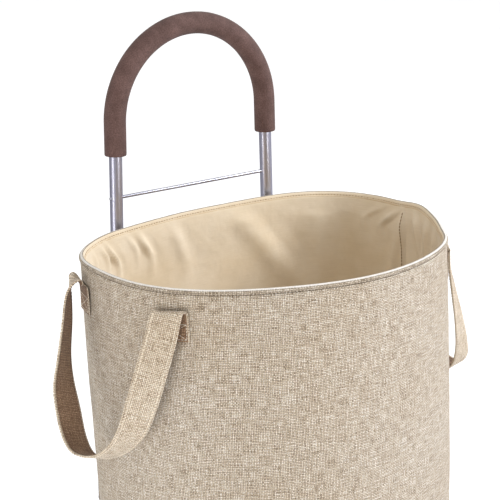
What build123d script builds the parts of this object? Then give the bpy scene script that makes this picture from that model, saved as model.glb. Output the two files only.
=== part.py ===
from build123d import *
import os
from math import cos, pi, radians, sin, tan

os.makedirs("parts", exist_ok=True)

# ---------------------------------------------------------------------------
# Driving dimensions, mm.  +Z up, floor at Z = 0, +Y towards the person who
# pulls the cart, X across.  The origin is on the floor under the middle of
# the cart's bounding box.
# ---------------------------------------------------------------------------
TUBE_R = 8.0              # 16 mm handle tube
TUBE_WALL = 1.2
ROD_R = 2.15              # thin cross rods between the legs
FOAM_R = 13.45            # foam grip on the arch

ROD_Z = 672.0             # upper cross rod above the floor
HANDLE_Y = 146.8          # legs' axis at the upper cross rod
HANDLE_HALF = 115.75      # half the leg spacing at the upper cross rod
SPLAY = radians(1.2)      # each leg leans outwards going down
LEAN = radians(1.07)      # the handle's plane leans back going up
ARCH_START = 88.0         # arch's centre above the rod, in the handle's plane
GRIP_START = 52.5         # lower ends of the foam above the rod

RIM_Z = 637.2             # middle of the bag's rolled rim
BAG_HALF_WIDTH = 234.4    # outside of the bag wall, at the rim
BAG_FRONT_DEPTH = 190.7   # from the widest line forwards
BAG_BACK_DEPTH = 139.9    # from the widest line back
BAG_BACK_GAP = 12.6       # back wall to the handle's plane at the rim
BAG_TAPER = radians(0.63)
BAG_LEAN = radians(3.9)   # the bag steps forwards going down
BAG_SQUARENESS = 2.69     # exponent of the back half of the outline
BAG_FLOOR_Z = 92.0        # underside of the bag
HEM_R = 4.3               # cloth rolled over the rim wire
SHELL_T = 1.4
STIFFENER_T = 1.2
LINING_T = 1.0
LAYER_GAP = 0.4
SEAM_GAP = 0.05
RIM_WIRE_R = 1.6
PIPING_R = 1.2
BOARD_T = 3.0

STRAP_WIDTH = 34.0
STRAP_T = 3.0
STRAP_DEPTH = 176.0       # from the fold down to the lowest point
STRAP_TILT = radians(18.0)
FOLD_DROP = 20.0          # fold below the middle of the rim
TAB_HEIGHT = 37.0
STRAP_FRONT = (207.0, -246.0)   # fold's place from the handle's plane
STRAP_BACK = (233.0, -105.0)

LOOP_TOP_Z = 316.0        # retaining strap that goes behind each leg
LOOP_HEIGHT = 40.0
LOOP_T = 2.0

WHEEL_R = 65.0
WHEEL_HALF = 13.0
AXLE_R = 5.0
AXLE_BACK = 16.0          # axle behind the handle's plane
BRACKET_INNER = 112.0     # bracket's inner face from the middle of the cart
BRACKET_WIDTH = 34.0
HUB_HALF = 15.0
WASHER_T = 1.5
RUN_GAP = 0.4             # side play between hub, washer and cap
HUB_CLEARANCE = 0.08

RAIL_R = 6.35
RAIL_HALF = 165.0
WIRE_R = 2.5
STAND_R = 6.0
FOOT_R = 10.0

SIDES = ((-1, "left"), (1, "right"))

HANDLE = Plane(
    origin=(0, HANDLE_Y, ROD_Z), x_dir=(1, 0, 0), z_dir=(0, -cos(LEAN), sin(LEAN))
)


def leg_x(z):
    """Half the distance between the legs at height z."""
    return HANDLE_HALF + (ROD_Z - z) * tan(SPLAY)


def leg_y(z):
    """Depth of the legs' axis at height z."""
    return HANDLE_Y + (z - ROD_Z) * tan(LEAN)


def leg_point(side, z):
    """Point on a leg's axis at height z; side is -1 for left and 1 for right."""
    return (side * leg_x(z), leg_y(z), z)


def leg_plane(side, z):
    """Plane across a leg at height z, its normal up the leg."""
    low = Vector(*leg_point(side, z))
    high = Vector(*leg_point(side, z + 1))
    return Plane(origin=low, z_dir=high - low)


def fore_and_aft(side, z):
    """Plane on a leg's axis at height z, facing +Y."""
    return Plane(origin=leg_point(side, z), z_dir=(0, 1, 0))


def bag_middle_y(z):
    """Depth of the bag's widest line at height z."""
    return HANDLE_Y - BAG_BACK_GAP - BAG_BACK_DEPTH - (RIM_Z - z) * tan(BAG_LEAN)


def bag_face(z, inset):
    """D-shaped face across the bag: half an ellipse in front, a squarer curve behind."""
    shrink = (RIM_Z - z) * tan(BAG_TAPER) + inset
    width = BAG_HALF_WIDTH - shrink
    front = BAG_FRONT_DEPTH - shrink
    back = BAG_BACK_DEPTH - shrink
    middle = bag_middle_y(z)
    power = 2 / BAG_SQUARENESS
    corner = cos(pi / 4) ** power
    shoulder = (width * cos(pi / 8) ** power, middle + back * sin(pi / 8) ** power)
    crown = (width * sin(pi / 8) ** power, middle + back * cos(pi / 8) ** power)
    with BuildSketch(Plane.XY.offset(z)) as face:
        with BuildLine():
            EllipticalCenterArc((0, middle), width, front, start_angle=270, arc_size=90)
            Spline(
                (width, middle),
                shoulder,
                (width * corner, middle + back * corner),
                crown,
                (0, middle + back),
                tangents=((0, 1), (-1, 0)),
            )
            mirror(about=Plane.YZ)
        make_face()
    return face.sketch


def bag_block(bottom, top, inset, mode=Mode.ADD):
    """Solid between two heights that fills the bag's outline less an inset."""
    loft([bag_face(bottom, inset), bag_face(top, inset)], mode=mode)


def bag_wall(bottom, top, inset, thickness):
    """One layer of the bag's wall, open at both ends."""
    with BuildPart() as wall:
        bag_block(bottom, top, inset)
        bag_block(bottom - 4, top + 4, inset + thickness, Mode.SUBTRACT)
    return wall


def bag_panel(bottom, thickness, inset):
    """One layer of the bag's floor."""
    with BuildPart() as panel:
        bag_block(bottom, bottom + thickness, inset)
    return panel


def save(piece, name):
    piece.part.label = name
    export_step(piece.part, "parts/" + name + ".step")


# ---------------------------------------------------------------------------
# Handle: one bent steel tube, a foam grip over its arch and two thin rods
# ---------------------------------------------------------------------------
JOINT_Z = 205.0           # upper tube ends here, over the lower legs' necks
ARCH_HALF = HANDLE_HALF - ARCH_START * tan(SPLAY)
ARCH_R = ARCH_HALF / cos(SPLAY)
LEG_DROP = (ROD_Z - JOINT_Z) / cos(LEAN)


def handle_path(end):
    """U line in the handle's plane, down to the given height on both legs."""
    x_end = HANDLE_HALF - end * tan(SPLAY)
    start = ARCH_START + ARCH_R * sin(SPLAY)
    top = ARCH_START + ARCH_R
    with BuildLine(HANDLE) as path:
        Line((-x_end, end), (-ARCH_HALF, start))
        ThreePointArc((-ARCH_HALF, start), (0, top), (ARCH_HALF, start))
        Line((ARCH_HALF, start), (x_end, end))
    return path.line


def tube_on(path, outer, inner):
    """Hollow round tube swept along a path."""
    with BuildSketch(Plane(origin=path @ 0, z_dir=path % 0)) as ring:
        Circle(outer)
        Circle(inner, mode=Mode.SUBTRACT)
    sweep(ring.sketch, path=path, transition=Transition.ROUND)


def bore(plane, radius, depth):
    """Round hole cut both ways from a plane."""
    with BuildSketch(plane) as hole:
        Circle(radius)
    extrude(hole.sketch, amount=depth, both=True, mode=Mode.SUBTRACT)


LEG_SCREW_Z = JOINT_Z + 18
LEG_SCREW_R = 2.0
HOLE_EASE = 0.05          # clearance around screws, rods and tubes in their holes

with BuildPart() as handle_tube:
    tube_on(handle_path(-LEG_DROP), TUBE_R, TUBE_R - TUBE_WALL)
    bore(Plane(origin=(0, HANDLE_Y, ROD_Z), z_dir=(1, 0, 0)), ROD_R + HOLE_EASE, 2 * HANDLE_HALF)
    for side in (-1, 1):
        bore(fore_and_aft(side, LEG_SCREW_Z), LEG_SCREW_R + HOLE_EASE, 2 * TUBE_R)
save(handle_tube, "handle_tube")

with BuildPart() as foam_grip:
    tube_on(handle_path(GRIP_START), FOAM_R, TUBE_R + 0.1)
save(foam_grip, "foam_grip")


def cross_rod(z):
    """Thin rod with domed ends, through both legs."""
    half = leg_x(z) + TUBE_R + 1.6
    with BuildPart() as rod:
        with BuildSketch(Plane.YZ.offset(-half)):
            with Locations((leg_y(z), z)):
                Circle(ROD_R)
        extrude(amount=2 * half)
        fillet(rod.edges().filter_by(GeomType.CIRCLE), radius=ROD_R * 0.8)
    return rod


LOWER_ROD_Z = 150.0
save(cross_rod(ROD_Z), "upper_cross_rod")
save(cross_rod(LOWER_ROD_Z), "lower_cross_rod")

# ---------------------------------------------------------------------------
# Lower legs: necked at the top to plug into the handle tube
# ---------------------------------------------------------------------------
LEG_BOTTOM_Z = 58.0
NECK_LENGTH = 38.0
NECK_R = TUBE_R - TUBE_WALL - 0.05
LEG_BORE_R = NECK_R - TUBE_WALL
BRACKET_SCREW_Z = 107.0


def lower_leg(side):
    """Straight tube with a necked top that plugs into the handle tube."""
    slant = 1 / (cos(SPLAY) * cos(LEAN))
    with BuildPart() as leg:
        with BuildSketch(leg_plane(side, LEG_BOTTOM_Z)):
            Circle(TUBE_R)
            Circle(LEG_BORE_R, mode=Mode.SUBTRACT)
        extrude(amount=(JOINT_Z - LEG_BOTTOM_Z) * slant - 0.2)
        with BuildSketch(leg_plane(side, JOINT_Z).offset(-0.3)):
            Circle(NECK_R)
            Circle(LEG_BORE_R, mode=Mode.SUBTRACT)
        extrude(amount=NECK_LENGTH)
        for z in (LEG_SCREW_Z, BRACKET_SCREW_Z):
            bore(fore_and_aft(side, z), LEG_SCREW_R + HOLE_EASE, 2 * TUBE_R)
        rod_hole = Plane(origin=leg_point(side, LOWER_ROD_Z), z_dir=(1, 0, 0))
        bore(rod_hole, ROD_R + HOLE_EASE, 2 * TUBE_R)
    return leg


for side, name in SIDES:
    save(lower_leg(side), "lower_leg_" + name)

# ---------------------------------------------------------------------------
# Screws and cap nuts: one pair joins the tubes, one pair holds the brackets
# ---------------------------------------------------------------------------
HEAD_R = 4.2
HEAD_H = 2.4
NUT_R = 4.0
NUT_H = 3.4


def screws(z, front, back):
    """Pan-head screws, one in each leg: head behind, tip in a nut in front."""
    length = front + back + NUT_H - 0.3
    with BuildPart() as pair:
        for side in (-1, 1):
            middle = fore_and_aft(side, z)
            with BuildSketch(middle.offset(back + 0.5 - length)):
                Circle(LEG_SCREW_R)
            extrude(amount=length)
            with BuildSketch(middle.offset(back + 0.1)):
                Circle(HEAD_R)
            extrude(amount=HEAD_H, taper=15)
    return pair


def cap_nuts(z, front):
    """Hexagonal nuts with a blind hole for the screw's tip, one on each leg."""
    with BuildPart() as pair:
        for side in (-1, 1):
            seat = Plane(fore_and_aft(side, z).offset(-front - 0.1).origin, z_dir=(0, -1, 0))
            with BuildSketch(seat):
                RegularPolygon(radius=NUT_R, side_count=6)
            extrude(amount=NUT_H)
            with BuildSketch(seat):
                Circle(LEG_SCREW_R)
            extrude(amount=NUT_H - 0.6, mode=Mode.SUBTRACT)
    return pair


BRACKET_BOTTOM = 49.0
BRACKET_TOP = 124.0
LUG_FRONT = 13.0          # bracket wall in front of and behind the leg's axis
LUG_BACK = 13.0

save(screws(LEG_SCREW_Z, TUBE_R, TUBE_R), "leg_screws")
save(cap_nuts(LEG_SCREW_Z, TUBE_R), "leg_nuts")
save(screws(BRACKET_SCREW_Z, LUG_FRONT, LUG_BACK), "bracket_screws")
save(cap_nuts(BRACKET_SCREW_Z, LUG_FRONT), "bracket_nuts")

# ---------------------------------------------------------------------------
# Wheel brackets: moulded blocks that take leg, base rail and axle
# ---------------------------------------------------------------------------
AXLE_Y = HANDLE_Y + AXLE_BACK
AXLE_Z = WHEEL_R
RAIL_Z = 80.0
RAIL_SOCKET = 8.0
RAIL_START_X = leg_x(AXLE_Z)
BRACKET_FRONT = leg_y(AXLE_Z) - 20


def on_axle(x):
    """Plane across the axle at x, facing +X."""
    return Plane(origin=(x, AXLE_Y, AXLE_Z), x_dir=(0, 1, 0), z_dir=(1, 0, 0))


def wheel_bracket(side):
    """Block with an upright socket for the leg, one in front for the rail and the axle's bore."""
    leg_front = leg_y(BRACKET_SCREW_Z) - LUG_FRONT
    leg_back = leg_y(BRACKET_SCREW_Z) + LUG_BACK
    with BuildPart() as bracket:
        with BuildSketch(Plane.YZ.offset(side * (BRACKET_INNER + BRACKET_WIDTH / 2))):
            with BuildLine():
                Polyline(
                    (BRACKET_FRONT, BRACKET_BOTTOM + 14),
                    (BRACKET_FRONT, RAIL_Z + 11),
                    (leg_front, BRACKET_TOP - 28),
                    (leg_front, BRACKET_TOP),
                    (leg_back, BRACKET_TOP),
                    (leg_back, BRACKET_TOP - 28),
                    (AXLE_Y + 13, AXLE_Z + 8),
                    (AXLE_Y + 13, AXLE_Z - 8),
                    (AXLE_Y + 4, BRACKET_BOTTOM),
                    (leg_front + 7, BRACKET_BOTTOM),
                    close=True,
                )
            make_face()
            fillet(vertices(), 3.0)
        extrude(amount=BRACKET_WIDTH / 2, both=True)
        with BuildSketch(leg_plane(side, LEG_BOTTOM_Z - 0.3)):
            Circle(TUBE_R + HOLE_EASE)
        extrude(amount=BRACKET_TOP, mode=Mode.SUBTRACT)
        bore(on_axle(side * BRACKET_INNER), AXLE_R + HOLE_EASE, 2 * BRACKET_WIDTH)
        with BuildSketch(Plane.XZ.offset(-BRACKET_FRONT - RAIL_SOCKET)):
            with Locations((side * RAIL_START_X, RAIL_Z)):
                Circle(RAIL_R + HOLE_EASE)
        extrude(amount=2 * RAIL_SOCKET, mode=Mode.SUBTRACT)
        bore(fore_and_aft(side, BRACKET_SCREW_Z), LEG_SCREW_R + HOLE_EASE, 3 * LUG_BACK)
    return bracket


for side, name in SIDES:
    save(wheel_bracket(side), "wheel_bracket_" + name)

# ---------------------------------------------------------------------------
# Axle, caps and washers
# ---------------------------------------------------------------------------
BRACKET_OUTER = BRACKET_INNER + BRACKET_WIDTH
HUB_INNER = BRACKET_OUTER + RUN_GAP + WASHER_T + RUN_GAP
HUB_OUTER = HUB_INNER + 2 * HUB_HALF
WHEEL_X = (HUB_INNER + HUB_OUTER) / 2
CAP_INNER = HUB_OUTER + 2 * RUN_GAP + WASHER_T
AXLE_HALF = CAP_INNER + 6
CAP_R = 9.5

with BuildPart() as axle:
    with BuildSketch(on_axle(-AXLE_HALF)):
        Circle(AXLE_R)
    extrude(amount=2 * AXLE_HALF)
    chamfer(edges().filter_by(GeomType.CIRCLE), 0.8)
save(axle, "axle")

with BuildPart() as axle_washers:
    for side in (-1, 1):
        for x in (BRACKET_OUTER + RUN_GAP, HUB_OUTER + RUN_GAP):
            with BuildSketch(on_axle(side * x)):
                Circle(CAP_R)
                Circle(AXLE_R + 0.1, mode=Mode.SUBTRACT)
            extrude(amount=side * WASHER_T)
save(axle_washers, "axle_washers")

with BuildPart() as axle_caps:
    for side in (-1, 1):
        with BuildSketch(on_axle(side * CAP_INNER)):
            Circle(CAP_R)
        extrude(amount=side * 10)
        fillet(edges().filter_by(GeomType.CIRCLE).sort_by(Axis.X)[-1 if side > 0 else 0], 3)
    for side in (-1, 1):
        with BuildSketch(on_axle(side * CAP_INNER)):
            Circle(AXLE_R)
        extrude(amount=side * 6.1, mode=Mode.SUBTRACT)
save(axle_caps, "axle_caps")

# ---------------------------------------------------------------------------
# Wheels: a spoked moulded centre with a solid tyre
# ---------------------------------------------------------------------------
TYRE_T = 9.0
SEAT_R = WHEEL_R - TYRE_T
FLANGE_R = SEAT_R - 5
HUB_R = 13.0
SPOKES = 6

for side, name in SIDES:
    with BuildPart() as wheel:
        with BuildSketch(on_axle(side * WHEEL_X)):
            Circle(SEAT_R)
            Circle(FLANGE_R, mode=Mode.SUBTRACT)
        extrude(amount=WHEEL_HALF - 1, both=True)
        with BuildSketch(on_axle(side * WHEEL_X)):
            Circle(HUB_R)
        extrude(amount=HUB_HALF, both=True)
        with BuildSketch(on_axle(side * WHEEL_X)):
            Circle(FLANGE_R + 1)
        extrude(amount=2, both=True)
        with BuildSketch(on_axle(side * WHEEL_X)):
            with PolarLocations((HUB_R + FLANGE_R) / 2, SPOKES):
                Rectangle(FLANGE_R - HUB_R + 4, 5)
        extrude(amount=WHEEL_HALF - 4, both=True)
        with BuildSketch(on_axle(side * WHEEL_X)):
            with PolarLocations((HUB_R + FLANGE_R) / 2, SPOKES, start_angle=180 / SPOKES):
                Circle(8.5)
        extrude(amount=WHEEL_HALF, both=True, mode=Mode.SUBTRACT)
        with BuildSketch(on_axle(side * WHEEL_X)):
            Circle(AXLE_R + HUB_CLEARANCE)
        extrude(amount=HUB_HALF + 1, both=True, mode=Mode.SUBTRACT)
    save(wheel, "wheel_centre_" + name)

    with BuildPart() as tyre:
        centre = (side * WHEEL_X, AXLE_Y, AXLE_Z)
        with BuildSketch(Plane(origin=centre, x_dir=(1, 0, 0), z_dir=(0, 1, 0))):
            with Locations((0, -WHEEL_R + TYRE_T / 2)):
                Rectangle(2 * WHEEL_HALF, TYRE_T - 2 * HOLE_EASE)
            fillet(vertices().group_by(Axis.Y)[0], TYRE_T / 2)
        revolve(axis=Axis((0, AXLE_Y, AXLE_Z), (1, 0, 0)), revolution_arc=360)
    save(tyre, "tyre_" + name)

# ---------------------------------------------------------------------------
# Base: a bent tube under the bag, cross wires on it and a raked front stand
# ---------------------------------------------------------------------------
RAIL_TUBE_T = 1.2
FLARE_Y = HANDLE_Y - 60
SIDE_BACK_Y = HANDLE_Y - 105
SIDE_FRONT_Y = HANDLE_Y - 262
NOSE_Y = HANDLE_Y - 350
NOSE_HALF = 95.0
STAND_TOP_Y = HANDLE_Y - 215
STAND_FOOT_Y = HANDLE_Y - 305
WIRE_Z = RAIL_Z + RAIL_R + WIRE_R - 0.4
WIRE_YS = [HANDLE_Y - depth for depth in (120, 182, 244, 306)]

with BuildPart() as base_rail:
    rail_half = [
        (RAIL_START_X, BRACKET_FRONT + RAIL_SOCKET - 0.3),
        (RAIL_START_X, FLARE_Y),
        (RAIL_HALF, SIDE_BACK_Y),
        (RAIL_HALF, SIDE_FRONT_Y),
        (NOSE_HALF, NOSE_Y),
    ]
    rail_points = rail_half + [(-x, y) for x, y in reversed(rail_half)]
    with BuildLine(Plane.XY.offset(RAIL_Z)) as rail_line:
        FilletPolyline(*rail_points, radius=(30, 30, 60, 60, 60, 60, 30, 30))
    tube_on(rail_line.line, RAIL_R, RAIL_R - RAIL_TUBE_T)
save(base_rail, "base_rail")


def rail_reach(y):
    """Half-width of the base rail at depth y."""
    if y > SIDE_FRONT_Y:
        return RAIL_HALF
    return RAIL_HALF - (RAIL_HALF - NOSE_HALF) * (SIDE_FRONT_Y - y) / (SIDE_FRONT_Y - NOSE_Y)


with BuildPart() as base_wires:
    for y in WIRE_YS:
        with BuildSketch(Plane.YZ.offset(-rail_reach(y))) as wire_end:
            with Locations((y, WIRE_Z)):
                Circle(WIRE_R)
        extrude(wire_end.sketch, amount=2 * rail_reach(y))
save(base_wires, "base_wires")

with BuildPart() as front_stand:
    stand_half = [
        (RAIL_HALF, STAND_TOP_Y, RAIL_Z - RAIL_R + 1.5),
        (RAIL_HALF, STAND_FOOT_Y, FOOT_R),
    ]
    stand_points = stand_half + [(-x, y, z) for x, y, z in reversed(stand_half)]
    with BuildLine() as stand_line:
        FilletPolyline(*stand_points, radius=22)
    tube_on(stand_line.line, STAND_R, STAND_R - 1)
save(front_stand, "front_stand")

FOOT_X = 118.0
FOOT_LENGTH = 34.0
for side, name in SIDES:
    with BuildPart() as foot:
        with BuildSketch(Plane.YZ.offset(side * FOOT_X)):
            with Locations((STAND_FOOT_Y, FOOT_R)):
                Circle(FOOT_R)
            with Locations((STAND_FOOT_Y, FOOT_R / 2)):
                Rectangle(1.7 * FOOT_R, FOOT_R)
            with Locations((STAND_FOOT_Y, FOOT_R)):
                Circle(STAND_R + 0.02, mode=Mode.SUBTRACT)
        extrude(amount=FOOT_LENGTH / 2, both=True)
    save(foot, "front_foot_" + name)

# ---------------------------------------------------------------------------
# Bag: outer cloth, stiffener, board and lining, with a rolled hem over a wire
# ---------------------------------------------------------------------------
RIM_WIRE_Z = RIM_Z - 1
HEM_BOTTOM = RIM_WIRE_Z - HEM_R
WALL_TOP = HEM_BOTTOM - LAYER_GAP
STIFFENER_INSET = SHELL_T + LAYER_GAP
LINING_INSET = STIFFENER_INSET + STIFFENER_T + LAYER_GAP
WALL_T = LINING_INSET + LINING_T
BOARD_Z = BAG_FLOOR_Z + SHELL_T + LAYER_GAP
LINING_Z = BOARD_Z + BOARD_T + LAYER_GAP

save(bag_panel(BAG_FLOOR_Z, SHELL_T, 0), "bag_floor_cloth")
save(bag_wall(BAG_FLOOR_Z + SHELL_T + SEAM_GAP, WALL_TOP, 0, SHELL_T), "bag_shell")
save(bag_wall(BOARD_Z, WALL_TOP, STIFFENER_INSET, STIFFENER_T), "wall_stiffener")
save(bag_panel(BOARD_Z, BOARD_T, LINING_INSET), "bottom_board")
save(bag_panel(LINING_Z, LINING_T, LINING_INSET), "lining_floor")
save(bag_wall(LINING_Z + LINING_T + SEAM_GAP, WALL_TOP, LINING_INSET, LINING_T), "lining_wall")


def rim_section(z, inset):
    """Outline of the bag at one height, and the plane across its start with Y outwards."""
    outline = bag_face(z, inset).face().outer_wire()
    start = outline @ 0
    across = Plane(origin=start, x_dir=(0, 0, 1), z_dir=outline % 0)
    if across.y_dir.X * start.X < 0:
        across = Plane(origin=start, x_dir=(0, 0, -1), z_dir=outline % 0)
    return outline, across


def rim_ring(z, inset, radius):
    """Round ring that follows the bag's outline at one height."""
    outline, across = rim_section(z, inset)
    with BuildPart() as ring:
        with BuildSketch(across) as section:
            Circle(radius)
        sweep(section.sketch, path=outline, transition=Transition.ROUND)
    return ring


WIRE_INSET = WALL_T / 2
save(rim_ring(RIM_WIRE_Z, WIRE_INSET, RIM_WIRE_R), "rim_wire")
save(rim_ring(HEM_BOTTOM - PIPING_R - 0.4, WALL_T + PIPING_R + 0.7, PIPING_R), "lining_piping")

with BuildPart() as rim_hem:
    hem_line, hem_plane = rim_section(RIM_WIRE_Z, WIRE_INSET)
    with BuildSketch(hem_plane) as hem_section:
        Circle(HEM_R)
        Circle(RIM_WIRE_R + 0.2, mode=Mode.SUBTRACT)
        with Locations((-HEM_R, 0)):
            Rectangle(2 * HEM_R, 1.0, mode=Mode.SUBTRACT)
    sweep(hem_section.sketch, path=hem_line)
save(rim_hem, "rim_hem")

# ---------------------------------------------------------------------------
# Strap tabs: short doubled tapes sewn to the wall, one under each strap fold
# ---------------------------------------------------------------------------
FOLD_Z = RIM_Z - FOLD_DROP
TAB_T = 1.8
TAB_LIFT = 1.2            # the flat tab clears the curved wall by this much at its middle
STRAP_ENDS = {"front": STRAP_FRONT, "back": STRAP_BACK}


def wall_plane(side, x, depth, z):
    """Plane on the bag wall: origin on the wall, X along it and normal outwards."""
    wall = bag_face(z, 0).face().outer_wire()
    near = Vector(side * x, HANDLE_Y + depth, z)
    spot = wall.closest_points(near)[0]
    ahead = wall.tangent_at(wall.param_at_point(spot))
    outwards = Vector(ahead.Y, -ahead.X, 0)
    if outwards.X * side < 0:
        outwards = outwards * -1
    return Plane(origin=spot, x_dir=ahead, z_dir=outwards)


def strap_tab(side, end):
    """Tape that follows the leaning wall from its stitched foot up to the fold."""
    x, depth = STRAP_ENDS[end]
    with BuildPart() as tab:
        rows = []
        for z in (FOLD_Z - TAB_HEIGHT, FOLD_Z):
            seat = wall_plane(side, x, depth, z)
            middle = seat.origin + seat.z_dir * (TAB_T / 2 + TAB_LIFT)
            with BuildSketch(Plane(origin=middle, x_dir=seat.x_dir, z_dir=(0, 0, 1))) as row:
                Rectangle(STRAP_WIDTH, TAB_T)
            rows.append(row.sketch)
        loft(rows)
    return tab


for side, name in SIDES:
    for end in STRAP_ENDS:
        save(strap_tab(side, end), "strap_tab_" + name + "_" + end)

# ---------------------------------------------------------------------------
# Retaining loops: hook-and-loop tapes that run behind the legs
# ---------------------------------------------------------------------------
LOOP_ROUTE = [(173, -61.5), (150, 11), (100, 11), (87, -40)]

for side, name in SIDES:
    with BuildPart() as loop:
        with BuildSketch(Plane.XY.offset(LOOP_TOP_Z - LOOP_HEIGHT)):
            with BuildLine():
                FilletPolyline(*[(side * x, HANDLE_Y + depth) for x, depth in LOOP_ROUTE], radius=14)
            trace(line_width=LOOP_T)
        extrude(amount=LOOP_HEIGHT)
    save(loop, "leg_loop_" + name)

# ---------------------------------------------------------------------------
# Carry straps: flat bands that hang from two folds and turn over at the bottom
# ---------------------------------------------------------------------------
STRAP_OFF = 11.0          # fold axis stands off the line between the two tabs
STRAP_TURN = radians(65)  # how far the band turns over at its lowest point
STRAP_STEPS = 14


def carry_strap(side):
    """Loft of flat sections along a deep U in a plane that leans away from the wall."""
    front = Vector(side * STRAP_FRONT[0], HANDLE_Y + STRAP_FRONT[1], FOLD_Z)
    back = Vector(side * STRAP_BACK[0], HANDLE_Y + STRAP_BACK[1], FOLD_Z)
    along = (back - front).normalized()
    out = Vector(side * along.Y, -side * along.X, 0)
    down = out * sin(STRAP_TILT) - Vector(0, 0, cos(STRAP_TILT))
    face = out * cos(STRAP_TILT) + Vector(0, 0, sin(STRAP_TILT))
    reach = (back - front).length / 2
    centre = (front + back) * 0.5 + out * STRAP_OFF
    sections = []
    for step in range(STRAP_STEPS + 1):
        turn = pi * step / STRAP_STEPS
        place = centre - along * (reach * cos(turn)) + down * (STRAP_DEPTH * sin(turn))
        run = (along * (reach * sin(turn)) + down * (STRAP_DEPTH * cos(turn))).normalized()
        edge = face.cross(run)
        rim = edge if edge.dot(centre - place) < 0 else edge * -1
        if step in (0, STRAP_STEPS):
            rim = along * (-1 if step == 0 else 1)
        roll = STRAP_TURN * sin(turn)
        normal = face * cos(roll) + rim * sin(roll)
        with BuildSketch(Plane(origin=place, x_dir=normal.cross(run), z_dir=run)) as section:
            Rectangle(STRAP_WIDTH, STRAP_T)
        sections.append(section.sketch)
    with BuildPart() as strap:
        loft(sections, ruled=True)
    return strap


for side, name in SIDES:
    save(carry_strap(side), "carry_strap_" + name)
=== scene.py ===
from math import cos, pi, radians, sin, tan

import bpy
import numpy as np
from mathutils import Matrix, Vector


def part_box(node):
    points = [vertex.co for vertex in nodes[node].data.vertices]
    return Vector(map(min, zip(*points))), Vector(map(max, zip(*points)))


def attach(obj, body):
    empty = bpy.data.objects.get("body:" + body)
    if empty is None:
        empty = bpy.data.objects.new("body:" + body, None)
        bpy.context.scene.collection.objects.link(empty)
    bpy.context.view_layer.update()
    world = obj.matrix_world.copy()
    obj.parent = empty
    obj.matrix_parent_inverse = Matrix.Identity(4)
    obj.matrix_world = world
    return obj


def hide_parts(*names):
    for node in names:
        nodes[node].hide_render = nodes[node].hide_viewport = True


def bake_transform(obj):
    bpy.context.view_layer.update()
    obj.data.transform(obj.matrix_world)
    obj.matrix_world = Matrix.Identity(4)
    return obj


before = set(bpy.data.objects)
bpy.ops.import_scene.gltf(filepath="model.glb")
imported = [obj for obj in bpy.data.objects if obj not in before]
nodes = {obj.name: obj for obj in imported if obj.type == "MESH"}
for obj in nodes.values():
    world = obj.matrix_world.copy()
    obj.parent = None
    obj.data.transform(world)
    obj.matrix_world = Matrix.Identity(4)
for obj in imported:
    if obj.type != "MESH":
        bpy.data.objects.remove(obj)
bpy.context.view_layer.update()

# ---------------------------------------------------------------------------
# Dimensions in metres, as in the CAD source. +Z up, floor at Z = 0, +Y to the back.
# ---------------------------------------------------------------------------
rod_low, rod_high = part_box("upper_cross_rod")
ROD = (rod_low + rod_high) / 2
HANDLE_Y = ROD.y
RIM_Z = ROD.z - 0.0348
HALF_WIDTH = 0.2344
FRONT_DEPTH = 0.1907
BACK_DEPTH = 0.1399
BACK_GAP = 0.0126
TAPER = radians(0.63)
BAG_LEAN = radians(3.9)
SQUARENESS = 2.69
SPLAY = radians(1.2)
LEAN = radians(1.07)
ARCH_START = 0.088
GRIP_START = 0.0525
HANDLE_HALF = 0.11575
FOAM_R = 0.01345
TUBE_R = 0.008
WALL_T = 0.0044
FLOOR_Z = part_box("bag_floor_cloth")[0].z
LINING_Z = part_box("lining_floor")[1].z
FOLD_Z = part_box("strap_tab_left_front")[1].z
STRAP_WIDTH = 0.035
STRAP_T = 0.0028
TAPE_T = 0.0018
# Stitch rows run this share of a tape's width away from its middle.
STITCH_ROW = 0.40
# The rim's rise and fall fades out over this height below it, its slumps over the other.
RIM_FADE = 0.1
SLUMP_FADE = 0.25
# Puckers of the cloth's edge round the whole rim.
PUCKERS = 160
WIRE_R = 0.0012
PIPING_R = 0.0010


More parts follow.
